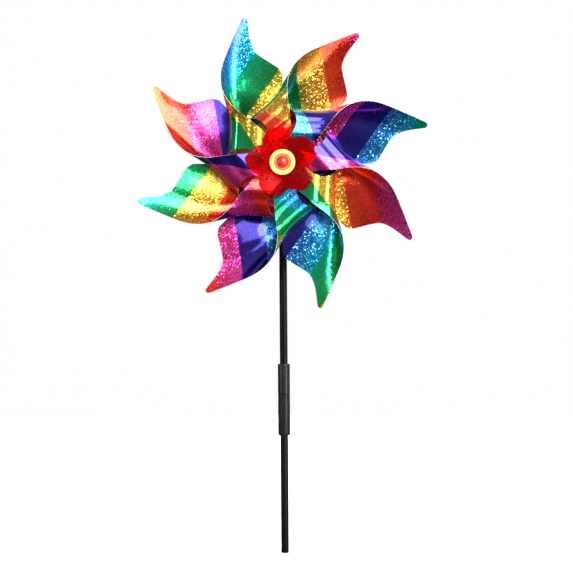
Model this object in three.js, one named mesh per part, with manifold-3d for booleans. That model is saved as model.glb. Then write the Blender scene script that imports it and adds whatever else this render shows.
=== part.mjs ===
// Film pinwheel on a two-piece garden stick. Millimetres, +Z up, wheel facing -Y.
// Origin: centre of the flat lower end of the stick.
import * as THREE from 'three';
import { mergeVertices } from 'three/addons/utils/BufferGeometryUtils.js';
import Module from 'manifold-3d';

// ---- driving dimensions ----
const GAP = 0.3;                // clearance between neighbouring pieces
const ROD_DIAMETER = 5;
const HUB_HEIGHT = 251;         // wheel axis above the lower end of the stick

const COUPLING = {
  bottom: 76, seam: 102.7, top: 122.4, diameter: 7.8, webHalf: 1.2, groove: 0.35, edge: 0.6,
};
const ROD_BORE = ROD_DIAMETER + 2 * GAP;

const PIN_DIAMETER = 2.4;       // axle shaft
const PIN_BORE = 3.2;           // every hole that the axle runs through
const HEAD = {
  barrelRadius: 4.2, halfLength: 6, sleeveRadius: 4.4, drop: 19, rodStop: 5.2, chamfer: 0.5,
};

// Positions along the axle, measured forward from the middle of the rear film sheet.
const FILM_THICKNESS = 0.4;
const SHEET_STEP = 0.8;         // rear sheet to front sheet
const CURL_RADIUS = 9;          // half the depth from the base of a sheet to its pinned corners
const EAR_DEPTH = 2 * CURL_RADIUS;
const WASHER_THICKNESS = 1.2;
const WASHER_RADIUS = 8;
const BEAD_LENGTH = 2;
const BEAD_RADIUS = 3;
const FILM_BACK = -FILM_THICKNESS / 2;
const WASHER_FRONT = FILM_BACK - GAP;
const BEAD_FRONT = WASHER_FRONT - WASHER_THICKNESS - GAP;
const BARREL_FRONT = BEAD_FRONT - BEAD_LENGTH - GAP;
const FILM_PLANE_Y = -(HEAD.halfLength - BARREL_FRONT);
const BARREL_BACK = BARREL_FRONT - 2 * HEAD.halfLength;
const SPOOL_BACK = SHEET_STEP + FILM_THICKNESS / 2 + GAP;
const SPOOL_FRONT = EAR_DEPTH - FILM_THICKNESS / 2 - GAP;
const FLOWER_BACK = EAR_DEPTH + SHEET_STEP + FILM_THICKNESS / 2 + GAP;
const FLOWER_THICKNESS = 0.4;
const RING_BACK = FLOWER_BACK + FLOWER_THICKNESS + GAP;

// ---- the film blades ----
// A sheet carries four blades, 90 degrees apart. Each blade is drawn flat in its own frame:
// t runs along the rulings of its curl, u runs at right angles, from the axle (0, 0)
// to the pinned corner (0, EAR_REACH). The frame is turned CURL_SKEW from the blade's tip.
const CURL_SKEW = 19;           // degrees, tip direction to t direction
const EAR_REACH = 80;           // axle to the hole of the pinned corner, along the film
const SLIT_LEAN = 0.07;         // the slit between blades leans this much from the u direction
const SLIT_START = 29.7;        // radius of the round hole that ends each slit
const SLIT_HOLE_DIAMETER = 5.6;
const DISC_RADIUS = 28.6;       // the uncut middle of a sheet
const REAR_SHEET_TURN = 59.5;   // tip direction of the first blade, degrees from +X
const FRONT_SHEET_TURN = 14.7;
const EDGE_LEAN = 11;           // how far the free slit edge springs away from the axle
const LEAN_REACH = 14;          // how far into the blade that spring is felt

// The curl opens towards the tip, and the line where it starts slants across the blade.
const OPENING = { from: 20, rate: 0.009 };
const CURL_LINE = {
  atHub: 25.9, rise: 1.8, riseFrom: 15, riseTo: 38, fall: 18, fallFrom: 40, fallLength: 50, fallPower: 1.6,
};

// Edge of the flat blade as t against u: from the slit to the round tip, and from the tip to the ear.
const TIP_U = 31;
const TIP_T = 90.7;
const LEADING_EDGE = [
  [2, 54], [6.4, 60.5], [10.2, 62.8], [19.6, 67.8], [23, 70.6], [26.5, 78], [29, 89.2], [TIP_U, TIP_T],
];
const TRAILING_EDGE = [
  [TIP_U, TIP_T], [33, 89.2], [40.7, 69.9], [46.5, 56], [50, 43.3], [53.6, 31.6],
  [57.9, 25.7], [65.2, 18.7], [74, 14], [82, 9.5], [87, 2],
];

const smoothstep = (a, b, x) => {
  const s = Math.min(Math.max((x - a) / (b - a), 0), 1);
  return s * s * (3 - 2 * s);
};

// Smooth curve through [x, y] knots, with the slope at each knot taken from its neighbours.
function curveThrough(knots, x) {
  let i = 0;
  while (i < knots.length - 2 && x > knots[i + 1][0]) i += 1;
  const slopeAt = (k) => {
    const before = knots[Math.max(k - 1, 0)];
    const after = knots[Math.min(k + 1, knots.length - 1)];
    return (after[1] - before[1]) / (after[0] - before[0]);
  };
  const [x0, y0] = knots[i];
  const [x1, y1] = knots[i + 1];
  const width = x1 - x0;
  const s = Math.min(Math.max((x - x0) / width, 0), 1);
  const rise = s * s * (3 - 2 * s);
  return y0 + (y1 - y0) * rise
    + width * (s * (1 - s) * (1 - s) * slopeAt(i) - s * s * (1 - s) * slopeAt(i + 1));
}

const outerEdge = (u) => curveThrough(u < TIP_U ? LEADING_EDGE : TRAILING_EDGE, u);
const slitEdge = (u) => -SLIT_LEAN * u;

// Radius of the curl and the line where it starts: tight by the hub, open towards the tip.
const curlRadius = (t) => CURL_RADIUS + OPENING.rate * Math.max(t - OPENING.from, 0) ** 2;

function curlStart(t) {
  const { atHub, rise, riseFrom, riseTo, fall, fallFrom, fallLength, fallPower } = CURL_LINE;
  return atHub + rise * smoothstep(riseFrom, riseTo, t)
    - fall * (Math.max(t - fallFrom, 0) / fallLength) ** fallPower;
}

// A point of the flat blade, rolled up: returns [t, across, forward].
function rollUp(t, u) {
  const radius = curlRadius(t);
  const start = curlStart(t);
  const bump = u > SLIT_START && u < EAR_REACH
    ? Math.sin(Math.PI * (u - SLIT_START) / (EAR_REACH - SLIT_START)) ** 2 : 0;
  const along = t + EDGE_LEAN * bump * Math.exp(-(t - slitEdge(u)) / LEAN_REACH);
  const turn = (u - start) / radius;
  if (turn <= 0) return [along, u, 0];
  if (turn >= Math.PI) return [along, start - (u - start - Math.PI * radius), 2 * radius];
  return [along, start + radius * Math.sin(turn), radius * (1 - Math.cos(turn))];
}

const FILM_ROWS = [2, 13, 22, 26.5, 29, TIP_U, 33, 36, 39, 42, 45, 48, 51, 54, 58, 65, 75, 87];
const FILM_COLUMNS = 7;
const TANGENT_STEP = 0.05;

// Closed skin of one rolled blade, as thick as asked, in the blade's frame.
function bladeGeometry(thickness) {
  const middle = FILM_ROWS.map((u) => Array.from({ length: FILM_COLUMNS + 1 }, (_, c) => {
    const t = slitEdge(u) + (outerEdge(u) - slitEdge(u)) * (c / FILM_COLUMNS);
    const at = (dt, du) => new THREE.Vector3(...rollUp(t + dt, u + du));
    const alongT = at(TANGENT_STEP, 0).sub(at(-TANGENT_STEP, 0));
    const alongU = at(0, TANGENT_STEP).sub(at(0, -TANGENT_STEP));
    return { p: at(0, 0), n: alongT.cross(alongU).normalize() };
  }));
  const rows = middle.length;
  const columns = FILM_COLUMNS + 1;
  const points = [];
  for (const side of [1, -1]) {
    for (const row of middle) {
      for (const { p, n } of row) {
        points.push(...p.clone().addScaledVector(n, side * thickness / 2).toArray());
      }
    }
  }
  const front = (r, c) => r * columns + c;
  const back = (r, c) => rows * columns + r * columns + c;
  const index = [];
  const quad = (a, b, c, d) => index.push(a, b, c, a, c, d);
  for (let r = 0; r < rows - 1; r += 1) {
    for (let c = 0; c < columns - 1; c += 1) {
      quad(front(r, c), front(r, c + 1), front(r + 1, c + 1), front(r + 1, c));
      quad(back(r, c), back(r + 1, c), back(r + 1, c + 1), back(r, c + 1));
    }
    quad(front(r, 0), front(r + 1, 0), back(r + 1, 0), back(r, 0));
    quad(front(r, columns - 1), back(r, columns - 1), back(r + 1, columns - 1), front(r + 1, columns - 1));
  }
  for (let c = 0; c < columns - 1; c += 1) {
    quad(front(0, c), back(0, c), back(0, c + 1), front(0, c + 1));
    quad(front(rows - 1, c), front(rows - 1, c + 1), back(rows - 1, c + 1), back(rows - 1, c));
  }
  const geometry = new THREE.BufferGeometry();
  geometry.setAttribute('position', new THREE.Float32BufferAttribute(points, 3));
  geometry.setIndex(index);
  return geometry;
}

// ---- booleans ----
const wasm = await Module();
wasm.setup();

function toSolid(geometry) {
  const bare = geometry.clone();
  for (const name of Object.keys(bare.attributes)) if (name !== 'position') bare.deleteAttribute(name);
  const merged = mergeVertices(bare, 1e-4);
  return new wasm.Manifold(new wasm.Mesh({
    numProp: 3,
    vertProperties: new Float32Array(merged.attributes.position.array),
    triVerts: new Uint32Array(merged.index.array),
  }));
}

function toGeometry(solid) {
  const { vertProperties, triVerts } = solid.getMesh();
  const geometry = new THREE.BufferGeometry();
  geometry.setAttribute('position', new THREE.BufferAttribute(new Float32Array(vertProperties), 3));
  geometry.setIndex(new THREE.BufferAttribute(new Uint32Array(triVerts), 1));
  geometry.computeVertexNormals();
  return geometry;
}

const unite = (solids) => solids.reduce((a, b) => a.add(b));
const degrees = THREE.MathUtils.degToRad;

// Cylinder lying along the local Z axis, from one height to another.
function upright(radius, from, to, sides, x = 0, y = 0) {
  const cylinder = new THREE.CylinderGeometry(radius, radius, to - from, sides);
  return cylinder.rotateX(Math.PI / 2).translate(x, y, (from + to) / 2);
}

// ---- film sheets, in the wheel's frame: local Z is forward along the axle ----
function filmSheet(tipTurn, depth, thickness, withDisc) {
  const solids = [];
  for (let k = 0; k < 4; k += 1) {
    const turn = degrees(tipTurn - CURL_SKEW + 90 * k);
    solids.push(toSolid(bladeGeometry(thickness).rotateZ(turn).translate(0, 0, depth)));
  }
  if (!withDisc) return unite(solids);
  solids.push(toSolid(upright(DISC_RADIUS, depth - thickness / 2, depth + thickness / 2, 40)));
  let sheet = unite(solids);
  for (let k = 0; k < 4; k += 1) {
    const turn = degrees(tipTurn - CURL_SKEW + 90 * k) + Math.PI / 2 + Math.atan(SLIT_LEAN);
    const x = SLIT_START * Math.cos(turn);
    const y = SLIT_START * Math.sin(turn);
    const reach = CURL_RADIUS / 3;
    const hole = upright(SLIT_HOLE_DIAMETER / 2, depth - reach, depth + reach, 16, x, y);
    sheet = sheet.subtract(toSolid(hole));
  }
  const pinHole = upright(PIN_BORE / 2, -2, EAR_DEPTH + 3, 16);
  return sheet.subtract(toSolid(pinHole));
}

const rearSheet = filmSheet(REAR_SHEET_TURN, 0, FILM_THICKNESS, true);
// The rear sheet's curls come forward through slots in the front sheet.
const rearClearance = filmSheet(REAR_SHEET_TURN, 0, FILM_THICKNESS + 2 * GAP, false);
const frontSheet = filmSheet(FRONT_SHEET_TURN, SHEET_STEP, FILM_THICKNESS, true).subtract(rearClearance);

// ---- flower ----
const FLOWER_PETALS = 5;
const PETAL_RADIUS = 9.6;
const PETAL_CENTRE = 12.8;
const FLOWER_TURN = 29.5;       // direction of the first petal, degrees from +X

function flowerSolid() {
  const front = FLOWER_BACK + FLOWER_THICKNESS;
  const discs = [upright(PETAL_CENTRE, FLOWER_BACK, front, 28)];
  for (let k = 0; k < FLOWER_PETALS; k += 1) {
    const turn = degrees(FLOWER_TURN + 360 * k / FLOWER_PETALS);
    const x = PETAL_CENTRE * Math.cos(turn);
    const y = PETAL_CENTRE * Math.sin(turn);
    discs.push(upright(PETAL_RADIUS, FLOWER_BACK, front, 28, x, y));
  }
  const pinHole = upright(PIN_BORE / 2, FLOWER_BACK - 1, front + 1, 16);
  return unite(discs.map(toSolid)).subtract(toSolid(pinHole));
}

// ---- turned pieces: [radius, height] profiles spun about the local Z axis ----
function turned(profile, sides) {
  const points = profile.map(([radius, height]) => new THREE.Vector2(radius, height));
  return new THREE.LatheGeometry(points, sides).rotateX(Math.PI / 2);
}

const tubeProfile = (inner, outer, from, to, chamfer = 0.2) => [
  [inner, from], [outer - chamfer, from], [outer, from + chamfer],
  [outer, to - chamfer], [outer - chamfer, to], [inner, to], [inner, from],
];

const PIN_BORE_RADIUS = PIN_BORE / 2;
const SPOOL = { flange: 8, barrel: 3.5, wall: 1 };

function spoolGeometry() {
  const { flange, barrel, wall } = SPOOL;
  const bore = PIN_BORE_RADIUS;
  return turned([
    [bore, SPOOL_BACK], [flange, SPOOL_BACK], [flange, SPOOL_BACK + wall], [barrel, SPOOL_BACK + 2 * wall],
    [barrel, SPOOL_FRONT - 2 * wall], [flange, SPOOL_FRONT - wall], [flange, SPOOL_FRONT],
    [bore, SPOOL_FRONT], [bore, SPOOL_BACK],
  ], 32);
}

// Ring washer round the pin head: flat back, rounded front.
const RING = { inner: 5.3, outer: 8.1, thickness: 1.8 };
const ARC_STEPS = 6;

function ringGeometry() {
  const half = (RING.outer - RING.inner) / 2;
  const centre = RING.inner + half;
  const profile = [[RING.inner, RING_BACK], [RING.outer, RING_BACK]];
  const flat = RING.thickness - half;
  for (let i = 0; i <= ARC_STEPS; i += 1) {
    const a = Math.PI * i / ARC_STEPS;
    profile.push([centre + half * Math.cos(a), RING_BACK + flat + half * Math.sin(a)]);
  }
  profile.push([RING.inner, RING_BACK]);
  return turned(profile, 40);
}

// Axle pin: shaft, thin flange inside the ring, and a domed head.
const PIN_HEAD = { flange: 4.9, flangeThickness: 0.7, dome: 3.5, collar: 0.2, domeRise: 2.9 };
const PIN_TAIL = BARREL_BACK - 3.2;

function pinGeometry() {
  const { flange, flangeThickness, dome, collar, domeRise } = PIN_HEAD;
  const shaft = PIN_DIAMETER / 2;
  const seat = RING_BACK;
  const shoulder = seat + flangeThickness;
  const profile = [[0, PIN_TAIL], [shaft, PIN_TAIL], [shaft, seat], [flange, seat], [flange, shoulder]];
  for (let i = 0; i < ARC_STEPS; i += 1) {
    const a = (Math.PI / 2) * (i / ARC_STEPS);
    profile.push([dome * Math.cos(a), shoulder + collar + domeRise * Math.sin(a)]);
  }
  profile.push([0, shoulder + collar + domeRise]);
  return turned(profile, 32);
}

// Push-on cap that keeps the axle in the head: closed behind, open towards the head.
const CAP = { radius: 3, floor: 1, chamfer: 0.8 };

function capGeometry() {
  const { radius, chamfer } = CAP;
  const front = BARREL_BACK - GAP;
  const bore = PIN_DIAMETER / 2 + GAP;
  const floor = PIN_TAIL - GAP;
  const back = floor - CAP.floor;
  return turned([
    [0, back], [radius - chamfer, back], [radius, back + chamfer], [radius, front], [bore, front],
    [bore, floor], [0, floor],
  ], 24);
}

// ---- stick ----
const rodRadius = ROD_DIAMETER / 2;
const ROD_CHAMFER = 0.5;

function rodGeometry(from, to) {
  return turned([
    [0, from], [rodRadius - ROD_CHAMFER, from], [rodRadius, from + ROD_CHAMFER],
    [rodRadius, to - ROD_CHAMFER], [rodRadius - ROD_CHAMFER, to], [0, to],
  ], 24);
}

function couplingGeometry() {
  const { bottom, seam, top, diameter, webHalf, groove, edge } = COUPLING;
  const outer = diameter / 2;
  const bore = ROD_BORE / 2;
  return turned([
    [0, seam - webHalf], [bore, seam - webHalf], [bore, bottom],
    [outer - edge, bottom], [outer, bottom + edge],
    [outer, seam - groove], [outer - groove, seam], [outer, seam + groove],
    [outer, top - edge], [outer - edge, top],
    [bore, top], [bore, seam + webHalf], [0, seam + webHalf],
  ], 28);
}

// Head on top of the stick: a socket for the rod below, a cross barrel for the axle.
function headSolid() {
  const { barrelRadius, halfLength, sleeveRadius, drop, rodStop, chamfer } = HEAD;
  const sleeve = toSolid(turned([
    [0, -drop], [sleeveRadius - chamfer, -drop], [sleeveRadius, chamfer - drop], [sleeveRadius, 0], [0, 0],
  ], 28));
  const barrel = toSolid(upright(barrelRadius, -halfLength, halfLength, 28).rotateX(Math.PI / 2));
  const socket = toSolid(upright(ROD_BORE / 2, -drop - 1, -rodStop, 24));
  const bore = toSolid(upright(PIN_BORE / 2, -halfLength - 1, halfLength + 1, 16).rotateX(Math.PI / 2));
  return sleeve.add(barrel).subtract(socket).subtract(bore);
}

// ---- finishes ----
function finish(color, roughness, metalness = 0) {
  return new THREE.MeshStandardMaterial({ color, roughness, metalness });
}

const BLACK = finish(0x1d1f1f, 0.45);
const COUPLING_BLACK = finish(0x3a3d40, 0.5);
const REAR_FILM = finish(0x1c8fd0, 0.2, 0.7);
const FRONT_FILM = finish(0xd33fa0, 0.2, 0.7);
const RED_FILM = finish(0xc81522, 0.2, 0.6);
const YELLOW = finish(0xf6e27a, 0.35);
const ORANGE = finish(0xf05a36, 0.35);
const CLEAR_WHITE = finish(0xe9ebe8, 0.4);

// ---- assembly ----
const pinwheel = new THREE.Group();

function piece(parent, name, geometry, material) {
  const mesh = new THREE.Mesh(geometry, material);
  mesh.name = name;
  parent.add(mesh);
  return mesh;
}

const lowerRodTop = COUPLING.seam - COUPLING.webHalf - GAP;
const upperRodBottom = COUPLING.seam + COUPLING.webHalf + GAP;
const upperRodTop = HUB_HEIGHT - HEAD.rodStop - GAP;
piece(pinwheel, 'lower_rod', rodGeometry(0, lowerRodTop), BLACK);
piece(pinwheel, 'coupling_sleeve', couplingGeometry(), COUPLING_BLACK);
piece(pinwheel, 'upper_rod', rodGeometry(upperRodBottom, upperRodTop), BLACK);
piece(pinwheel, 'axle_head', toGeometry(headSolid()), BLACK).position.z = HUB_HEIGHT;

// The wheel is modelled facing local +Z and turned to face -Y.
const wheel = new THREE.Group();
wheel.position.set(0, FILM_PLANE_Y, HUB_HEIGHT);
wheel.rotation.x = Math.PI / 2;
pinwheel.add(wheel);
const beadProfile = tubeProfile(PIN_BORE_RADIUS, BEAD_RADIUS, BEAD_FRONT - BEAD_LENGTH, BEAD_FRONT);
const WASHER_BACK = WASHER_FRONT - WASHER_THICKNESS;
const washerProfile = tubeProfile(PIN_BORE_RADIUS, WASHER_RADIUS, WASHER_BACK, WASHER_FRONT);
piece(wheel, 'bearing_bead', turned(beadProfile, 24), CLEAR_WHITE);
piece(wheel, 'rear_washer', turned(washerProfile, 32), CLEAR_WHITE);
piece(wheel, 'film_sheet_rear', toGeometry(rearSheet), REAR_FILM);
piece(wheel, 'film_sheet_front', toGeometry(frontSheet), FRONT_FILM);
piece(wheel, 'hub_spool', spoolGeometry(), CLEAR_WHITE);
piece(wheel, 'flower', toGeometry(flowerSolid()), RED_FILM);
piece(wheel, 'ring_washer', ringGeometry(), YELLOW);
piece(wheel, 'axle_pin', pinGeometry(), ORANGE);
piece(wheel, 'axle_end_cap', capGeometry(), BLACK);

export default pinwheel;
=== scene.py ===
"""A film pinwheel on a garden stick: eight curled rainbow blades, a red flower, a ring and a pin.

The wheel faces -Y. The film sheets are drawn flat in millimetres, printed, then rolled up.
"""

import math
import random

import bpy
from mathutils import Matrix, Vector


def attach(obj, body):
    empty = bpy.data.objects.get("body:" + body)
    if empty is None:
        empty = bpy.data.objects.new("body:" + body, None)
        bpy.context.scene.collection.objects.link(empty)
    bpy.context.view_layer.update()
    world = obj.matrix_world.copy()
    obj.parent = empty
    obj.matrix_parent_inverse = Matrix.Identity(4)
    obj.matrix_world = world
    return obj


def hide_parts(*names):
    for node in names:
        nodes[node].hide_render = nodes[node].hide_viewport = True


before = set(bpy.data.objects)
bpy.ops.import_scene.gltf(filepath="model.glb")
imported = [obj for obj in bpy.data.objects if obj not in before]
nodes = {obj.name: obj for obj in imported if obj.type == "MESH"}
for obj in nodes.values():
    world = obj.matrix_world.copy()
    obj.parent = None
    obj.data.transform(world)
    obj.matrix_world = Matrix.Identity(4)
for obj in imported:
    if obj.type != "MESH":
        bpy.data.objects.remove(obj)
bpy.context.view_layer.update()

MM = 0.001
HUB_HEIGHT = 251.0
FILM_PLANE_Y = -10.3

# Places along the axle, forward from the middle of the rear film sheet.
REAR_DEPTH = 0.0
FRONT_DEPTH = 0.8
FLOWER_DEPTH = 19.5
RING_BACK = 20.0


# ---- small helpers ----
def select_only(*pieces):
    """Leaves just these objects selected, the first of them active."""
    if bpy.context.object and bpy.context.object.mode != "OBJECT":
        bpy.ops.object.mode_set(mode="OBJECT")
    bpy.ops.object.select_all(action="DESELECT")
    for piece in pieces:
        piece.select_set(True)
    bpy.context.view_layer.objects.active = pieces[0] if pieces else None


def apply_modifiers(piece):
    """Applies every modifier of a piece, in order."""
    select_only(piece)
    for modifier in list(piece.modifiers):
        bpy.ops.object.modifier_apply(modifier=modifier.name)


def smooth_by_angle(piece, degrees):
    """Shades a piece smoothly, with its edges kept crisp above this angle."""
    select_only(piece)
    bpy.ops.object.shade_smooth_by_angle(angle=math.radians(degrees))


def smoothstep(low, high, x):
    """Rises smoothly from 0 to 1 as x goes from low to high."""
    s = min(max((x - low) / (high - low), 0.0), 1.0)
    return s * s * (3 - 2 * s)


# From the wheel's own frame (x right, y up, z forward, in millimetres) to the shared frame in metres.
WHEEL_TO_FRAME = Matrix((
    (MM, 0, 0, 0),
    (0, 0, -MM, FILM_PLANE_Y * MM),
    (0, MM, 0, HUB_HEIGHT * MM),
    (0, 0, 0, 1),
))


def place_on_wheel(piece):
    """Puts a piece made in the wheel's own frame into the shared frame."""
    piece.data.transform(WHEEL_TO_FRAME)
    piece.data.update()


# ---- the flat blade ----
# A blade is drawn flat in millimetres: t runs out along the rulings of its curl, u across them.
BLADES = 4                      # blades on one sheet
REAR_SHEET_TURN = 59.5          # where each sheet's first tip points, in degrees
FRONT_SHEET_TURN = 14.7
CURL_SKEW = 19.0                # angle between a blade's tip and its rulings, in degrees
PIN_HOLE_RADIUS = 1.6
EAR_REACH = 80.0                # from the middle to the pin hole in a blade's corner
SLIT_TURN = math.atan(0.07)     # angle of the slit to the rulings
SLIT_START = 29.7               # from the middle to the slit's relief hole
SLIT_HOLE_RADIUS = 2.8
HOLE_MARGIN = 0.45              # mesh points this near a hole are moved to its edge
TIP_U = 31.0                    # middle of the round tip
TIP_T = 88.6
TIP_RADIUS = 2.1
TIP_SHOULDER = 1.95
LEADING_EDGE = [(2, 54), (6.4, 60.5), (10.2, 62.8), (19.6, 67.8), (23, 70.6), (26.5, 78), (29.05, 89.4)]
TRAILING_EDGE = [
    (32.95, 89.4), (40.7, 69.9), (46.5, 56), (50, 43.3), (53.6, 31.6),
    (57.9, 25.7), (65.2, 18.7), (74, 14), (82, 9.5), (87, 2),
]
# Distances of the mesh lines from the slits: a millimetre apart, and half that at the tip.
PLACES = [float(p) for p in range(22)]
PLACES += [22 + 0.5 * p for p in range(14)]
PLACES += [float(p) for p in range(29, 89)]
ROWS = len(PLACES) - 1
COLUMNS = 64
JOINED = 26.0                   # how far out neighbouring blades share their mesh lines
JOINED_LINES = PLACES.index(JOINED)
EVEN_FROM = 46                  # rows beyond this have evenly spaced columns

# ---- the roll of a blade, in millimetres ----
CURL_RADIUS = 9.0               # next to the middle
CURL_WIDENING = 0.009           # how fast the radius grows beyond CURL_OPENS
CURL_OPENS = 20
CURL_START = 25.9               # u at which the curl begins
CURL_START_SHIFT = 1.8
TIP_TWIST = 18                  # how much sooner the curl begins towards the tip
EDGE_LEAN = 11.0                # how far the rolled edge leans outwards
EDGE_LEAN_FADE = 14             # and how slowly that dies away from the slit
LEAD_IN = 18.0                  # width of the gentle rise ahead of the curl
LEAD_IN_RISE = 2.7
PINNED_CORNER = 12.0            # stays flat round the pin hole
FLAP_BOW = 2.0
RIPPLE = 0.8
EAR_OFFSET = -0.3               # from the curl's full depth back to the first pinned corner
EAR_STEP = 0.2                  # each pinned corner lies on the one before


def curve_through(knots, x):
    """Smooth curve through (x, y) knots, with the slope at each knot taken from its neighbours."""
    i = 0
    while i < len(knots) - 2 and x > knots[i + 1][0]:
        i += 1

    def slope_at(k):
        before = knots[max(k - 1, 0)]
        after = knots[min(k + 1, len(knots) - 1)]
        return (after[1] - before[1]) / (after[0] - before[0])

    x0, y0 = knots[i]
    x1, y1 = knots[i + 1]
    width = x1 - x0
    s = min(max((x - x0) / width, 0.0), 1.0)
    rise = s * s * (3 - 2 * s)
    bend = s * (1 - s) * (1 - s) * slope_at(i) - s * s * (1 - s) * slope_at(i + 1)
    return y0 + (y1 - y0) * rise + width * bend


def outer_edge(u):
    """Outline of the flat blade, as t against u, with a round tip."""
    across = u - TIP_U
    if abs(across) < TIP_SHOULDER:
        return TIP_T + math.sqrt(TIP_RADIUS ** 2 - across ** 2)
    return curve_through(LEADING_EDGE if across < 0 else TRAILING_EDGE, u)


def edge_along_row(b):
    """Where the slanted row b meets the outline: its length from the slit, found step by step."""
    a = 50.0
    for _ in range(24):
        u = a * math.sin(SLIT_TURN) + b * math.cos(SLIT_TURN)
        a = 0.5 * a + 0.5 * (outer_edge(u) + b * math.sin(SLIT_TURN)) / math.cos(SLIT_TURN)
    return a


def curl_radius(t):
    """The curl is tight next to the middle and opens towards the tip."""
    return CURL_RADIUS + CURL_WIDENING * max(t - CURL_OPENS, 0) ** 2


def curl_start(t):
    """Where the curl begins, as u: a little further over halfway out, and sooner at the tip."""
    tipward = (max(t - 40, 0) / 50) ** 1.6
    return CURL_START + CURL_START_SHIFT * smoothstep(15, 38, t) - TIP_TWIST * tipward


def roll_up(t, u):
    """A point of the flat blade once rolled: (along the rulings, across, forward)."""
    radius = curl_radius(t)
    start = curl_start(t)
    bump = 0.0
    if SLIT_START < u < EAR_REACH:
        bump = math.sin(math.pi * (u - SLIT_START) / (EAR_REACH - SLIT_START)) ** 2
    along = t + EDGE_LEAN * bump * math.exp(-(t + math.tan(SLIT_TURN) * u) / EDGE_LEAN_FADE)
    turn = (u - start) / radius
    if turn <= 0:
        return along, u, 0.0
    if turn >= math.pi:
        return along, start - (u - start - math.pi * radius), 2 * radius
    return along, start + radius * math.sin(turn), radius * (1 - math.cos(turn))


def lead_in(t, u):
    """The gentle rise of the film ahead of its curl, in millimetres forward."""
    start = curl_start(t)
    return LEAD_IN_RISE * smoothstep(28, 44, t) * smoothstep(start - LEAD_IN, start + 2, u)


def flap_bow(t, u):
    """How far the folded-over flap bows forward between its curl and the pinned corner."""
    begin = curl_start(t) + math.pi * curl_radius(t)
    end = EAR_REACH - PINNED_CORNER
    if not begin < u < end:
        return 0.0
    return FLAP_BOW * math.sin(math.pi * (u - begin) / (end - begin)) ** 2


def ripple(t, u, phase):
    """The slight unevenness of loose film, nil near the hub, in millimetres forward."""
    away = smoothstep(30, 60, math.hypot(t, min(u, 40)))
    slow = math.sin(0.11 * t + 0.05 * u + phase) * math.cos(0.09 * u - 0.04 * t + 2 * phase)
    return RIPPLE * away * slow


# ---- the film sheets ----
FILM_THICKNESS = 0.16
SHEET_SPAN = 200.0              # the print's UV square, in millimetres


def film_sheet(name, tip_turn, depth, materials, seed):
    """One sheet of four blades, cut, printed and rolled up."""
    select_only()
    bpy.ops.mesh.primitive_grid_add(x_subdivisions=COLUMNS, y_subdivisions=ROWS, size=1)
    blade = bpy.context.object
    row_lengths = [edge_along_row(place) for place in PLACES]
    for vertex in blade.data.vertices:
        column = round((vertex.co.x + 0.5) * COLUMNS)
        row = round((vertex.co.y + 0.5) * ROWS)
        length = row_lengths[row]
        even = column / COLUMNS * length
        if column <= JOINED_LINES:
            stepped = PLACES[column]
        else:
            stepped = JOINED + (length - JOINED) * (column - JOINED_LINES) / (COLUMNS - JOINED_LINES)
        a = stepped + (even - stepped) * smoothstep(JOINED + 2, EVEN_FROM, PLACES[row])
        vertex.co = (a, PLACES[row], 0)
    sheet_parts = []
    for k in range(BLADES):
        part = blade.copy()
        part.data = blade.data.copy()
        bpy.context.scene.collection.objects.link(part)
        number = part.data.attributes.new("blade", "INT", "POINT")
        number.data.foreach_set("value", [k] * len(part.data.vertices))
        turn = math.radians(tip_turn - CURL_SKEW + 90 * k) + SLIT_TURN
        part.data.transform(Matrix.Rotation(turn, 4, "Z"))
        sheet_parts.append(part)
    bpy.data.objects.remove(blade)
    select_only(*sheet_parts)
    bpy.ops.object.join()
    sheet = bpy.context.object
    sheet.name = name
    sheet.data.name = name

    merge_hub(sheet)
    cut_holes(sheet, tip_turn)
    print_uv(sheet)

    rng = random.Random(seed)
    phases = [rng.uniform(0, 6.28) for _ in range(BLADES)]
    flap_depth = 2 * CURL_RADIUS
    numbers = sheet.data.attributes["blade"].data
    for vertex in sheet.data.vertices:
        k = numbers[vertex.index].value
        turn = math.radians(tip_turn - CURL_SKEW + 90 * k)
        x, y = vertex.co.x, vertex.co.y
        t = x * math.cos(turn) + y * math.sin(turn)
        u = -x * math.sin(turn) + y * math.cos(turn)
        along, across, forward = roll_up(t, u)
        folded = smoothstep(flap_depth / 2, flap_depth - 0.1, forward)
        loose = lead_in(t, u) + ripple(t, u, phases[k])
        forward += loose * (1 - folded) + folded * (EAR_OFFSET + EAR_STEP * k)
        forward += flap_bow(t, u)
        vertex.co.x = along * math.cos(turn) - across * math.sin(turn)
        vertex.co.y = along * math.sin(turn) + across * math.cos(turn)
        vertex.co.z = depth + forward
    sheet.data.attributes.remove(sheet.data.attributes["blade"])

    sheet.data.materials.clear()
    for material in materials:
        sheet.data.materials.append(material)
    # The back of the film takes the second material and its cut edges the third.
    wall = sheet.modifiers.new("wall", "SOLIDIFY")
    wall.thickness = FILM_THICKNESS
    wall.offset = 0
    wall.material_offset = 1
    wall.material_offset_rim = 2
    apply_modifiers(sheet)
    return sheet


def merge_hub(sheet):
    """Joins the four blades along the mesh lines that they share round the middle."""
    select_only(sheet)
    bpy.ops.object.mode_set(mode="EDIT")
    bpy.ops.mesh.select_all(action="DESELECT")
    bpy.ops.object.mode_set(mode="OBJECT")
    for vertex in sheet.data.vertices:
        vertex.select = math.hypot(vertex.co.x, vertex.co.y) < JOINED + 0.3
    bpy.ops.object.mode_set(mode="EDIT")
    bpy.ops.mesh.select_mode(type="VERT")
    bpy.ops.mesh.remove_doubles(threshold=0.05)
    bpy.ops.object.mode_set(mode="OBJECT")


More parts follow.
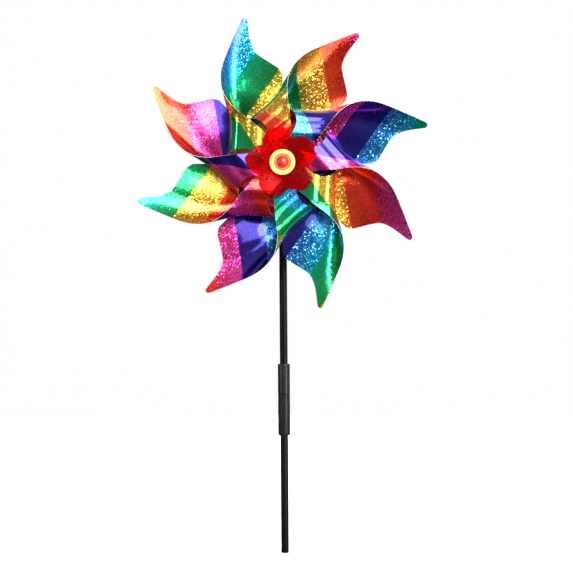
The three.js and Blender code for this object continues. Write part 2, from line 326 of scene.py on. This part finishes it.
def cut_holes(sheet, tip_turn):
    """Cuts the round ends of the slits and the holes for the pin."""
    holes = [(0.0, 0.0, PIN_HOLE_RADIUS)]
    for k in range(BLADES):
        turn = math.radians(tip_turn - CURL_SKEW + 90 * k)
        slit = turn + math.pi / 2 + SLIT_TURN
        holes.append((SLIT_START * math.cos(slit), SLIT_START * math.sin(slit), SLIT_HOLE_RADIUS))
        holes.append((-EAR_REACH * math.sin(turn), EAR_REACH * math.cos(turn), PIN_HOLE_RADIUS))

    def nearest(x, y):
        return min(holes, key=lambda h: math.hypot(x - h[0], y - h[1]) - h[2])

    select_only(sheet)
    bpy.ops.object.mode_set(mode="EDIT")
    bpy.ops.mesh.select_mode(type="FACE")
    bpy.ops.mesh.select_all(action="DESELECT")
    bpy.ops.object.mode_set(mode="OBJECT")
    for face in sheet.data.polygons:
        hx, hy, radius = nearest(face.center.x, face.center.y)
        face.select = math.hypot(face.center.x - hx, face.center.y - hy) < radius
    bpy.ops.object.mode_set(mode="EDIT")
    bpy.ops.mesh.delete(type="FACE")
    bpy.ops.object.mode_set(mode="OBJECT")
    for vertex in sheet.data.vertices:
        hx, hy, radius = nearest(vertex.co.x, vertex.co.y)
        away = Vector((vertex.co.x - hx, vertex.co.y - hy))
        if 0.01 < away.length < radius + HOLE_MARGIN:
            away = away.normalized() * radius
            vertex.co.x = hx + away.x
            vertex.co.y = hy + away.y


def print_uv(sheet):
    """The flat sheet laid out in the UV square, so that the print follows the film."""
    layer = sheet.data.uv_layers.active or sheet.data.uv_layers.new(name="print")
    layer.name = "print"
    for loop in sheet.data.loops:
        co = sheet.data.vertices[loop.vertex_index].co
        layer.data[loop.index].uv = (0.5 + co.x / SHEET_SPAN, 0.5 + co.y / SHEET_SPAN)


# ---- materials ----
def new_material(name):
    """A node material: returns it, its tree and its shader."""
    material = bpy.data.materials.new(name)
    material.use_nodes = True
    return material, material.node_tree, material.node_tree.nodes["Principled BSDF"]


def node(tree, kind, **settings):
    """A new node with the settings given."""
    made = tree.nodes.new(kind)
    for key, value in settings.items():
        setattr(made, key, value)
    return made


def math_node(tree, operation, first, second=None):
    """One sum on one or two inputs, each a number or another node's output."""
    made = node(tree, "ShaderNodeMath", operation=operation)
    for slot, value in enumerate((first, second)):
        if value is None:
            continue
        if isinstance(value, (int, float)):
            made.inputs[slot].default_value = value
        else:
            tree.links.new(value, made.inputs[slot])
    return made.outputs[0]


def mix_colour(tree, blend, factor, first, second):
    """Mixes two colours; each input is a value or another node's output."""
    made = node(tree, "ShaderNodeMix", data_type="RGBA", blend_type=blend)
    for slot, value in ((0, factor), (6, first), (7, second)):
        if isinstance(value, (int, float, tuple)):
            made.inputs[slot].default_value = value
        else:
            tree.links.new(value, made.inputs[slot])
    return made.outputs[2]


# The bright middle of a fleck is a painted glint.
WHOLE_DOT = 0.36                # size of a fleck's bright middle and of its rim, in cells
DOT_RIM = 0.62


def glitter(tree, coordinates, cells, strength, amount=1.0):
    """Round flecks, cells to a millimetre: returns their normal, each cell's random shade and painted
    glints, bright dots in the colour.
    """
    wobble = node(tree, "ShaderNodeTexNoise")
    wobble.inputs["Scale"].default_value = cells * 0.55
    wobble.inputs["Detail"].default_value = 1.0
    tree.links.new(coordinates, wobble.inputs["Vector"])
    shift = node(tree, "ShaderNodeVectorMath", operation="MULTIPLY_ADD")
    tree.links.new(wobble.outputs["Color"], shift.inputs[0])
    shift.inputs[1].default_value = (0.25 / cells,) * 3
    tree.links.new(coordinates, shift.inputs[2])
    fleck = node(tree, "ShaderNodeTexVoronoi", voronoi_dimensions="3D", feature="F1")
    fleck.inputs["Scale"].default_value = cells
    tree.links.new(shift.outputs[0], fleck.inputs["Vector"])
    parts = node(tree, "ShaderNodeSeparateColor")
    tree.links.new(fleck.outputs["Color"], parts.inputs[0])
    light = parts.outputs[0]
    dot = node(tree, "ShaderNodeMapRange", interpolation_type="SMOOTHSTEP")
    dot.inputs["From Min"].default_value = DOT_RIM
    dot.inputs["From Max"].default_value = WHOLE_DOT
    tree.links.new(fleck.outputs["Distance"], dot.inputs["Value"])
    # Painted glints: the lightest cells get bright dots, painted into the colour later.
    painted_glint = math_node(tree, "MULTIPLY", dot.outputs[0], math_node(tree, "POWER", light, 3.0))
    spread = math_node(tree, "ADD", math_node(tree, "MULTIPLY", painted_glint, 0.7), 0.3)
    painted_glint = math_node(tree, "MULTIPLY", painted_glint, amount)
    spread = math_node(tree, "MULTIPLY", spread, amount)
    facet = mix_colour(tree, "MIX", spread, (0.5, 0.5, 1, 1), fleck.outputs["Color"])
    tilt = node(tree, "ShaderNodeVectorMath", operation="MULTIPLY_ADD")
    tree.links.new(facet, tilt.inputs[0])
    tilt.inputs[1].default_value = (strength, strength, 0)
    tilt.inputs[2].default_value = (0.5 - strength / 2, 0.5 - strength / 2, 1)
    normal = node(tree, "ShaderNodeNormalMap", uv_map="print")
    tree.links.new(tilt.outputs[0], normal.inputs["Color"])
    return normal.outputs[0], light, painted_glint


FLECKS_PER_MM = 1.25
STRIPE_WIDTH = 18.36
CRISP_EDGE = 0.0015             # width of the change from one stripe to the next, as a share of the ramp
# Each stripe's colour at its two edges and how thickly its glitter lies, in the order of the print.
STRIPES = [
    ((0.90, 0.055, 0.004), (0.78, 0.010, 0.012), 0.25),  # red
    ((0.62, 0.006, 0.045), (0.84, 0.035, 0.40), 0.6),    # magenta
    ((0.030, 0.006, 0.24), (0.005, 0.010, 0.20), 0.12),  # navy
    ((0.008, 0.13, 0.62), (0.00, 0.40, 0.64), 1.0),      # blue
    ((0.00, 0.46, 0.21), (0.005, 0.28, 0.03), 0.25),     # green
    ((0.52, 0.43, 0.012), (0.92, 0.24, 0.004), 1.0),     # gold
]


def film_print(name, turn, first_edge, first_colour, step, roughness, fleck_tilt):
    """Metallic film printed with six crisp stripes.

    turn is the way in which the stripes follow one another, in degrees. The stripe number
    first_colour begins first_edge from the middle, and step is -1 where they run backwards.
    """
    material, tree, shader = new_material(name)
    uv = node(tree, "ShaderNodeUVMap", uv_map="print")
    centred = node(tree, "ShaderNodeMapping", vector_type="POINT")
    centred.inputs["Location"].default_value = (-SHEET_SPAN / 2, -SHEET_SPAN / 2, 0)
    centred.inputs["Scale"].default_value = (SHEET_SPAN, SHEET_SPAN, 1)
    tree.links.new(uv.outputs[0], centred.inputs[0])
    turned = node(tree, "ShaderNodeMapping", vector_type="POINT")
    turned.inputs["Rotation"].default_value = (0, 0, -math.radians(turn))
    tree.links.new(centred.outputs[0], turned.inputs[0])
    axes = node(tree, "ShaderNodeSeparateXYZ")
    tree.links.new(turned.outputs[0], axes.inputs[0])
    cycle = STRIPE_WIDTH * len(STRIPES)
    offset = first_colour / len(STRIPES) - step * first_edge / cycle
    place = math_node(tree, "ADD", math_node(tree, "MULTIPLY", axes.outputs[0], step / cycle), offset)
    place = math_node(tree, "FRACT", place)
    ramp = node(tree, "ShaderNodeValToRGB")
    stops = ramp.color_ramp.elements
    while len(stops) > 1:
        stops.remove(stops[0])
    for i, (start, end, flecks) in enumerate(STRIPES):
        if i == 0:
            stops[0].position = 0.0
            stops[0].color = (*start, flecks)
        else:
            stops.new(i / len(STRIPES)).color = (*start, flecks)
        stops.new((i + 1) / len(STRIPES) - CRISP_EDGE).color = (*end, flecks)
    tree.links.new(place, ramp.inputs[0])
    amount = ramp.outputs["Alpha"]
    normal, light, painted_glint = glitter(tree, centred.outputs[0], FLECKS_PER_MM, fleck_tilt, amount)
    gap = math_node(tree, "MULTIPLY", math_node(tree, "SUBTRACT", 1.0, light), amount)
    shade = math_node(tree, "SUBTRACT", 1.0, math_node(tree, "MULTIPLY", gap, 0.5))
    colour = mix_colour(tree, "MULTIPLY", 1.0, ramp.outputs[0], shade)
    # Painted glints: the glitter's bright dots are painted as a paler tint of the stripe colour.
    pale = node(tree, "ShaderNodeGamma")
    pale.inputs["Gamma"].default_value = 0.3
    tree.links.new(ramp.outputs[0], pale.inputs["Color"])
    colour = mix_colour(tree, "MIX", painted_glint, colour, pale.outputs[0])
    tree.links.new(colour, shader.inputs["Base Color"])
    tree.links.new(normal, shader.inputs["Normal"])
    shader.inputs["Metallic"].default_value = 0.9
    rough = math_node(tree, "ADD", math_node(tree, "MULTIPLY", amount, 0.14), roughness)
    tree.links.new(rough, shader.inputs["Roughness"])
    shader.inputs["Coat Weight"].default_value = 0.5
    shader.inputs["Coat Roughness"].default_value = 0.04
    return material


def edge_material():
    """The bare, pale edge where the film was cut."""
    material, tree, shader = new_material("film_cut_edge")
    noise = node(tree, "ShaderNodeTexNoise")
    noise.inputs["Scale"].default_value = 900
    coordinates = node(tree, "ShaderNodeTexCoord")
    tree.links.new(coordinates.outputs["Object"], noise.inputs["Vector"])
    colour = mix_colour(tree, "MIX", noise.outputs["Fac"], (0.55, 0.5, 0.5, 1), (0.8, 0.75, 0.72, 1))
    tree.links.new(colour, shader.inputs["Base Color"])
    shader.inputs["Roughness"].default_value = 0.4
    return material


REAR_STRIPES = (9.45, 36.7)     # the way the stripes follow one another, and where a stripe begins
FRONT_STRIPES = (-35.55, 0)
PRINT_GLOSS = (0.12, 0.34)      # roughness and fleck tilt
BACK_GLOSS = (0.1, 0.12)
cut_edge = edge_material()
rear_film = [
    film_print("film_rear_print", *REAR_STRIPES, 0, 1, *PRINT_GLOSS),
    film_print("film_rear_back", *REAR_STRIPES, 3, -1, *BACK_GLOSS),
    cut_edge,
]
front_film = [
    film_print("film_front_print", *FRONT_STRIPES, 1, 1, *PRINT_GLOSS),
    film_print("film_front_back", *FRONT_STRIPES, 2, -1, *BACK_GLOSS),
    cut_edge,
]

rear_sheet = film_sheet("film_rear", REAR_SHEET_TURN, REAR_DEPTH, rear_film, seed=5)
front_sheet = film_sheet("film_front", FRONT_SHEET_TURN, FRONT_DEPTH, front_film, seed=9)
for sheet, cad_node, slot in (
    (rear_sheet, "film_sheet_rear", "striped_film_rear"),
    (front_sheet, "film_sheet_front", "striped_film_front"),
):
    place_on_wheel(sheet)
    smooth_by_angle(sheet, 40)
    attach(sheet, "wheel")
    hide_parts(cad_node)


# ---- turned pieces ----
def turned(name, profile, steps, axis):
    """A profile of (radius, height) points, in millimetres, spun round the stick (Z) or the pin (Y)."""
    select_only()
    bpy.ops.mesh.primitive_plane_add(size=1)
    piece = bpy.context.object
    piece.name = name
    piece.data.name = name
    bpy.ops.object.mode_set(mode="EDIT")
    bpy.ops.mesh.select_mode(type="VERT")
    bpy.ops.mesh.merge(type="CENTER")
    first = Vector((profile[0][0], 0, profile[0][1]))
    bpy.ops.transform.translate(value=first)
    for (r0, h0), (r1, h1) in zip(profile, profile[1:]):
        bpy.ops.mesh.extrude_region_move(TRANSFORM_OT_translate={"value": (r1 - r0, 0, h1 - h0)})
    bpy.ops.mesh.select_all(action="SELECT")
    bpy.ops.mesh.spin(steps=steps, angle=2 * math.pi, center=(0, 0, 0), axis=(0, 0, 1))
    bpy.ops.mesh.select_all(action="SELECT")
    bpy.ops.mesh.remove_doubles(threshold=0.001)
    bpy.ops.mesh.normals_make_consistent(inside=False)
    bpy.ops.object.mode_set(mode="OBJECT")
    piece.data.transform(Matrix.Scale(MM, 4) if axis == "Z" else WHEEL_TO_FRAME)
    smooth_by_angle(piece, 32)
    return piece


def arc(centre_r, centre_h, radius, start, end, steps):
    """Points of an arc in a profile; angles in degrees from the outward direction."""
    points = []
    for i in range(steps + 1):
        a = math.radians(start + (end - start) * i / steps)
        points.append((centre_r + radius * math.cos(a), centre_h + radius * math.sin(a)))
    return points


ROD_RADIUS = 2.5
ROD_EDGE = 0.5
PIN_BORE = 1.6


def rod_profile(low, high):
    """A plain rod with rounded ends."""
    return [
        (0, low), *arc(ROD_RADIUS - ROD_EDGE, low + ROD_EDGE, ROD_EDGE, -90, 0, 5),
        *arc(ROD_RADIUS - ROD_EDGE, high - ROD_EDGE, ROD_EDGE, 0, 90, 5), (0, high),
    ]


COUPLING_BOTTOM = 76.0
COUPLING_SEAM = 102.7
COUPLING_TOP = 122.4
COUPLING_RADIUS = 3.9
COUPLING_BORE = 2.8
COUPLING_WEB = 1.2
COUPLING_EDGE = 0.95
FINE_RINGS = (4.6, 3.3, 2.0)    # below the seam
FINE_RING_DEPTH = 0.16


def coupling_profile():
    """Two sockets end to end, with the seam and three fine rings between them."""
    outer, bore, edge, seam = COUPLING_RADIUS, COUPLING_BORE, COUPLING_EDGE, COUPLING_SEAM
    points = [(0, seam - COUPLING_WEB), (bore, seam - COUPLING_WEB), (bore, COUPLING_BOTTOM)]
    points += arc(outer - edge, COUPLING_BOTTOM + edge, edge, -90, 0, 4)
    for ring in FINE_RINGS:
        middle = seam - ring
        floor = outer - FINE_RING_DEPTH
        points += [(outer, middle - 0.35), (floor, middle - 0.12)]
        points += [(floor, middle + 0.12), (outer, middle + 0.35)]
    points += [(outer, seam - 0.3), (outer - 0.35, seam), (outer, seam + 0.3)]
    points += arc(outer - edge, COUPLING_TOP - edge, edge, 0, 90, 4)
    points += [(bore, COUPLING_TOP), (bore, seam + COUPLING_WEB), (0, seam + COUPLING_WEB)]
    return points


RING_INNER = 5.3
RING_OUTER = 8.1
RING_DEPTH = 1.8


def ring_profile():
    """Flat behind and round in front."""
    half = (RING_OUTER - RING_INNER) / 2
    centre = RING_INNER + half
    flat = RING_BACK + RING_DEPTH - half
    return [(RING_INNER, RING_BACK), (RING_OUTER, RING_BACK), *arc(centre, flat, half, 0, 180, 14),
            (RING_INNER, RING_BACK)]


PIN_SHAFT = 1.2
PIN_TAIL = -19.5
PIN_FLANGE = 4.9
PIN_SHOULDER = 20.7
DOME_RADIUS = 3.5
DOME_RISE = 2.9
DOME_STEPS = 12


def pin_profile():
    """Shaft, dished flange and domed head."""
    points = [(0, PIN_TAIL), (PIN_SHAFT, PIN_TAIL), (PIN_SHAFT, RING_BACK), (PIN_FLANGE - 0.2, RING_BACK)]
    points += arc(PIN_FLANGE - 0.2, RING_BACK + 0.7, 0.2, -45, 60, 4)
    points += [(PIN_FLANGE - 0.3, PIN_SHOULDER + 0.35), (DOME_RADIUS + 0.15, PIN_SHOULDER - 0.5)]
    points += [(DOME_RADIUS, PIN_SHOULDER - 0.5)]
    for i in range(DOME_STEPS + 1):
        a = math.radians(90 * i / DOME_STEPS)
        radius = DOME_RADIUS * math.cos(a) if i < DOME_STEPS else 0
        points.append((radius, PIN_SHOULDER + 0.2 + DOME_RISE * math.sin(a)))
    return points


def tube_profile(inner, outer, low, high, edge=0.25):
    """A short tube with a rounded outer edge at each end."""
    return [
        (inner, low), *arc(outer - edge, low + edge, edge, -90, 0, 4),
        *arc(outer - edge, high - edge, edge, 0, 90, 4), (inner, high), (inner, low),
    ]


def spool_profile():
    """A bored barrel between two flanges."""
    flange, barrel, back, front = 8.0, 3.5, 1.3, 17.5
    return [
        (PIN_BORE, back), (flange - 0.3, back), (flange, back + 0.3), (flange, back + 0.8),
        *arc(barrel + 1.6, back + 2.8, 1.6, -100, -180, 5),
        *arc(barrel + 1.6, front - 2.8, 1.6, 180, 100, 5),
        (flange, front - 0.8), (flange, front - 0.3), (flange - 0.3, front),
        (PIN_BORE, front), (PIN_BORE, back),
    ]


def cap_profile():
    """A push-on cap, closed and rounded behind."""
    back, floor, front = -20.8, -19.8, -16.6
    outer, socket = 3, 1.5
    return [
        (0, back), *arc(outer - 0.8, back + 0.8, 0.8, -90, 0, 6),
        *arc(outer - 0.2, front - 0.2, 0.2, 0, 90, 3),
        (socket, front), (socket, floor), (0, floor),
    ]


# ---- plastics ----
GRAIN_SCALE = 2600              # noise cells to a metre
MOTTLE_SCALE = 160


def plastic(name, colour, roughness, grain, drawn=False, coat=0.0, soften=0.0, shine=0.5):
    """Moulded plastic with faint mottling, fine grain and uneven gloss, or drawn out along Z."""
    material, tree, shader = new_material(name)
    coordinates = node(tree, "ShaderNodeTexCoord")
    spread = node(tree, "ShaderNodeMapping", vector_type="POINT")
    spread.inputs["Scale"].default_value = (1, 1, 0.04) if drawn else (1, 1, 1)
    tree.links.new(coordinates.outputs["Object"], spread.inputs[0])
    fine = node(tree, "ShaderNodeTexNoise")
    fine.inputs["Scale"].default_value = GRAIN_SCALE
    fine.inputs["Detail"].default_value = 3
    tree.links.new(spread.outputs[0], fine.inputs["Vector"])
    slow = node(tree, "ShaderNodeTexNoise")
    slow.inputs["Scale"].default_value = MOTTLE_SCALE
    slow.inputs["Detail"].default_value = 2
    tree.links.new(spread.outputs[0], slow.inputs["Vector"])
    dark = tuple(c * 0.82 for c in colour) + (1,)
    light = tuple(min(c * 1.16, 1) for c in colour) + (1,)
    tree.links.new(mix_colour(tree, "MIX", slow.outputs["Fac"], dark, light), shader.inputs["Base Color"])
    gloss = math_node(tree, "MULTIPLY", slow.outputs["Fac"], 0.14)
    tree.links.new(math_node(tree, "ADD", gloss, roughness - 0.07), shader.inputs["Roughness"])
    bump = node(tree, "ShaderNodeBump")
    bump.inputs["Strength"].default_value = grain
    bump.inputs["Distance"].default_value = 0.0001
    tree.links.new(fine.outputs["Fac"], bump.inputs["Height"])
    tree.links.new(bump.outputs[0], shader.inputs["Normal"])
    shader.inputs["Specular IOR Level"].default_value = shine
    shader.inputs["Coat Weight"].default_value = coat
    shader.inputs["Subsurface Weight"].default_value = soften
    shader.inputs["Subsurface Scale"].default_value = 0.002
    return material


rod_black = plastic("rod_black", (0.0015, 0.0018, 0.0016), 0.36, 0.25, drawn=True, shine=0.14)
coupling_black = plastic("coupling_charcoal", (0.005, 0.0062, 0.0075), 0.3, 0.4, shine=0.24)
head_black = plastic("head_black", (0.006, 0.0065, 0.0065), 0.42, 0.35)
hub_white = plastic("hub_milky", (0.75, 0.78, 0.76), 0.35, 0.25, soften=0.2)
ring_yellow = plastic("ring_yellow", (0.86, 0.60, 0.11), 0.3, 0.2, coat=0.3, soften=0.15)
pin_orange = plastic("pin_orange", (0.27, 0.007, 0.002), 0.3, 0.2, coat=0.2, soften=0.05)


def paint_cup_highlight(material):
    """Paints the cup round the pin's dome paler than the dome: a painted highlight in the base colour,
    standing in for the light that the thin cup catches.
    """
    tree = material.node_tree
    shader = tree.nodes["Principled BSDF"]
    coordinates = node(tree, "ShaderNodeTexCoord")
    offset = node(tree, "ShaderNodeVectorMath", operation="SUBTRACT")
    tree.links.new(coordinates.outputs["Object"], offset.inputs[0])
    offset.inputs[1].default_value = (0, 0, HUB_HEIGHT * MM)
    flat = node(tree, "ShaderNodeVectorMath", operation="MULTIPLY")
    tree.links.new(offset.outputs[0], flat.inputs[0])
    flat.inputs[1].default_value = (1, 0, 1)
    radius = node(tree, "ShaderNodeVectorMath", operation="LENGTH")
    tree.links.new(flat.outputs[0], radius.inputs[0])
    fade = node(tree, "ShaderNodeMapRange")
    fade.inputs["From Min"].default_value = (DOME_RADIUS + 0.1) * MM
    fade.inputs["From Max"].default_value = (DOME_RADIUS + 0.5) * MM
    tree.links.new(radius.outputs["Value"], fade.inputs["Value"])
    plain = shader.inputs["Base Color"].links[0].from_socket
    # painted highlight: the salmon colour makes the cup paler than the dome
    colour = mix_colour(tree, "MIX", fade.outputs[0], plain, (0.88, 0.2, 0.1, 1))
    tree.links.new(colour, shader.inputs["Base Color"])


# the pin's cup gets a painted highlight
paint_cup_highlight(pin_orange)

TURNED = [
    # name, profile, steps, axis, material, body, CAD node, slot
    ("rod_lower", rod_profile(0, 101.2), 48, "Z", rod_black, "stick", "lower_rod", "black_rod"),
    ("rod_upper", rod_profile(104.2, 245.5), 48, "Z", rod_black, "stick", "upper_rod", "black_rod"),
    (
        "coupling", coupling_profile(), 64, "Z", coupling_black,
        "stick", "coupling_sleeve", "coupling_plastic",
    ),
    ("bead", tube_profile(PIN_BORE, 3, -4, -2), 48, "Y", hub_white, "stick", "bearing_bead", "hub_plastic"),
    (
        "washer", tube_profile(PIN_BORE, 8, -1.7, -0.5), 64, "Y", hub_white,
        "wheel", "rear_washer", "hub_plastic",
    ),
    ("spool", spool_profile(), 64, "Y", hub_white, "wheel", "hub_spool", "hub_plastic"),
    ("ring", ring_profile(), 96, "Y", ring_yellow, "wheel", "ring_washer", "yellow_plastic"),
    ("pin", pin_profile(), 64, "Y", pin_orange, "wheel", "axle_pin", "orange_plastic"),
    ("end_cap", cap_profile(), 48, "Y", head_black, "wheel", "axle_end_cap", "head_plastic"),
]
for name, profile, steps, axis, material, body, cad_node, slot in TURNED:
    piece = turned(name, profile, steps, axis)
    piece.data.materials.append(material)
    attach(piece, body)
    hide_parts(cad_node)

head = nodes["axle_head"]
for slot in head.material_slots:
    slot.material = head_black


# ---- flower ----
PETALS = 5
PETAL_RADIUS = 9.6
PETAL_CENTRE = 12.8
FLOWER_TURN = 29.5
FLOWER_RINGS = 26
FLOWER_STEPS = 150
FLOWER_THICKNESS = 0.2


def petal_reach(turn):
    """Radius of the flower's outline in one direction, in degrees."""
    pitch = 360 / PETALS
    off = math.radians((turn - FLOWER_TURN + pitch / 2) % pitch - pitch / 2)
    return PETAL_CENTRE * math.cos(off) + math.sqrt(PETAL_RADIUS ** 2 - (PETAL_CENTRE * math.sin(off)) ** 2)


def flower_rise(radius, turn):
    """How far the loose petals stand forward of flat, each a little differently, in millimetres."""
    out = smoothstep(8.5, 22, radius)
    off = math.radians(turn - FLOWER_TURN) * PETALS
    return out * (1.5 + 0.9 * math.cos(off) + 0.5 * math.sin(2 * math.radians(turn) + 1.0))


def red_film():
    """Clear red film: what lies behind shows through it, and it glitters a little."""
    material, tree, shader = new_material("film_red_clear")
    uv = node(tree, "ShaderNodeUVMap", uv_map="print")
    flat = node(tree, "ShaderNodeMapping", vector_type="POINT")
    flat.inputs["Scale"].default_value = (SHEET_SPAN, SHEET_SPAN, 1)
    tree.links.new(uv.outputs[0], flat.inputs[0])
    normal, light, _ = glitter(tree, flat.outputs[0], 1.0, 0.12)
    deep = mix_colour(tree, "MIX", light, (0.62, 0.0, 0.002, 1), (0.96, 0.012, 0.012, 1))
    tree.links.new(deep, shader.inputs["Base Color"])
    tree.links.new(normal, shader.inputs["Normal"])
    shader.inputs["Roughness"].default_value = 0.08
    shader.inputs["IOR"].default_value = 1.12
    shader.inputs["Transmission Weight"].default_value = 0.93
    return material


select_only()
bpy.ops.mesh.primitive_circle_add(vertices=FLOWER_STEPS, radius=1.0)
flower = bpy.context.object
flower.name = "flower_film"
flower.data.name = "flower_film"
bpy.ops.object.mode_set(mode="EDIT")
for ring in range(FLOWER_RINGS):
    bpy.ops.mesh.extrude_edges_move()
    share = (FLOWER_RINGS - ring - 1) / (FLOWER_RINGS - ring)
    inner = max(share, 0.5)
    bpy.ops.transform.resize(value=(inner, inner, 1))
bpy.ops.object.mode_set(mode="OBJECT")
hub_ring = min(math.hypot(v.co.x, v.co.y) for v in flower.data.vertices)
for vertex in flower.data.vertices:
    share = (math.hypot(vertex.co.x, vertex.co.y) - hub_ring) / (1 - hub_ring)
    turn = math.degrees(math.atan2(vertex.co.y, vertex.co.x))
    radius = PIN_BORE + (petal_reach(turn) - PIN_BORE) * share
    vertex.co.x = radius * math.cos(math.radians(turn))
    vertex.co.y = radius * math.sin(math.radians(turn))
print_uv(flower)
for vertex in flower.data.vertices:
    radius = math.hypot(vertex.co.x, vertex.co.y)
    turn = math.degrees(math.atan2(vertex.co.y, vertex.co.x))
    vertex.co.z = FLOWER_DEPTH + flower_rise(radius, turn)
select_only(flower)
bpy.ops.object.mode_set(mode="EDIT")
bpy.ops.mesh.select_all(action="SELECT")
bpy.ops.mesh.normals_make_consistent(inside=False)
bpy.ops.object.mode_set(mode="OBJECT")
if flower.data.polygons[0].normal.z < 0:
    flower.data.flip_normals()
flower.data.materials.append(red_film())
wall = flower.modifiers.new("wall", "SOLIDIFY")
wall.thickness = FLOWER_THICKNESS
wall.offset = 0
apply_modifiers(flower)
place_on_wheel(flower)
smooth_by_angle(flower, 40)
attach(flower, "wheel")
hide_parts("flower")

# ---- stage: floor, lights, camera ----
select_only()
bpy.ops.mesh.primitive_plane_add(size=3.0, location=(0, 0, 0))
floor = bpy.context.object
floor.name = "floor"
pale, _, pale_shader = new_material("floor_pale")
pale_shader.inputs["Base Color"].default_value = (0.92, 0.92, 0.92, 1)
pale_shader.inputs["Roughness"].default_value = 0.8
pale_shader.inputs["Emission Color"].default_value = (1, 1, 1, 1)
pale_shader.inputs["Emission Strength"].default_value = 0.45
floor.data.materials.append(pale)
floor.visible_glossy = False


WHEEL_MIDDLE = Vector((0, 0, 0.25))


def softbox(name, place, size, power):
    """A rectangular lamp aimed at the wheel."""
    data = bpy.data.lights.new(name, "AREA")
    data.shape = "RECTANGLE"
    data.size, data.size_y = size
    data.energy = power
    light = bpy.data.objects.new(name, data)
    bpy.context.scene.collection.objects.link(light)
    light.location = place
    light.rotation_euler = (WHEEL_MIDDLE - Vector(place)).to_track_quat("-Z", "Y").to_euler()


softbox("softbox_top", (0.6, -0.84, 1.04), (1.5, 0.85), 40)
softbox("softbox_right", (1.1, -0.9, 0.25), (0.4, 0.6), 8)
softbox("softbox_front", (0.17, -1.0, 0.62), (0.85, 0.34), 3.3)
softbox("card_low_right", (0.25, -0.28, 0.04), (0.2, 0.2), 0.4)
softbox("strip_left", (-1.1, -0.7, 0.35), (0.06, 0.9), 5)
softbox("softbox_back", (0.1, 1.3, 0.9), (1.2, 0.8), 14)

# The background is white. Round the object the studio is brighter above and to the right.
world = bpy.data.worlds.new("studio")
bpy.context.scene.world = world
world.use_nodes = True
sky = world.node_tree
background = sky.nodes["Background"]
seen = node(sky, "ShaderNodeLightPath")
white = node(sky, "ShaderNodeBackground")
white.inputs["Color"].default_value = (1, 1, 1, 1)
white.inputs["Strength"].default_value = 1.0
direction = node(sky, "ShaderNodeTexCoord")
upward = node(sky, "ShaderNodeVectorMath", operation="DOT_PRODUCT")
upward.inputs[1].default_value = (0.36, 0.0, 0.93)
sky.links.new(direction.outputs["Generated"], upward.inputs[0])
fade = node(sky, "ShaderNodeMapRange")
fade.inputs["From Min"].default_value = -0.55
fade.inputs["From Max"].default_value = 0.6
fade.inputs["To Min"].default_value = 0.035
fade.inputs["To Max"].default_value = 0.65
sky.links.new(upward.outputs["Value"], fade.inputs["Value"])
sky.links.new(fade.outputs["Result"], background.inputs["Strength"])
background.inputs["Color"].default_value = (1, 1, 1, 1)
choose = node(sky, "ShaderNodeMixShader")
sky.links.new(seen.outputs["Is Camera Ray"], choose.inputs[0])
sky.links.new(background.outputs[0], choose.inputs[1])
sky.links.new(white.outputs[0], choose.inputs[2])
sky.links.new(choose.outputs[0], sky.nodes["World Output"].inputs["Surface"])

LENS = 135.0
SENSOR = 36.0
FRAME_WIDTH = 0.3679            # width of the view at the wheel
VIEW_CENTRE = Vector((0.0021, -0.01, 0.1722))
VIEW_ROLL = 0.4
distance = FRAME_WIDTH * LENS / SENSOR
camera_data = bpy.data.cameras.new("camera")
camera_data.lens = LENS
camera_data.sensor_width = SENSOR
camera = bpy.data.objects.new("camera", camera_data)
bpy.context.scene.collection.objects.link(camera)
camera.location = VIEW_CENTRE - Vector((0, distance, 0))
camera.rotation_euler = (math.radians(90), math.radians(VIEW_ROLL), 0)
bpy.context.scene.camera = camera
bpy.context.scene.view_settings.view_transform = "Standard"
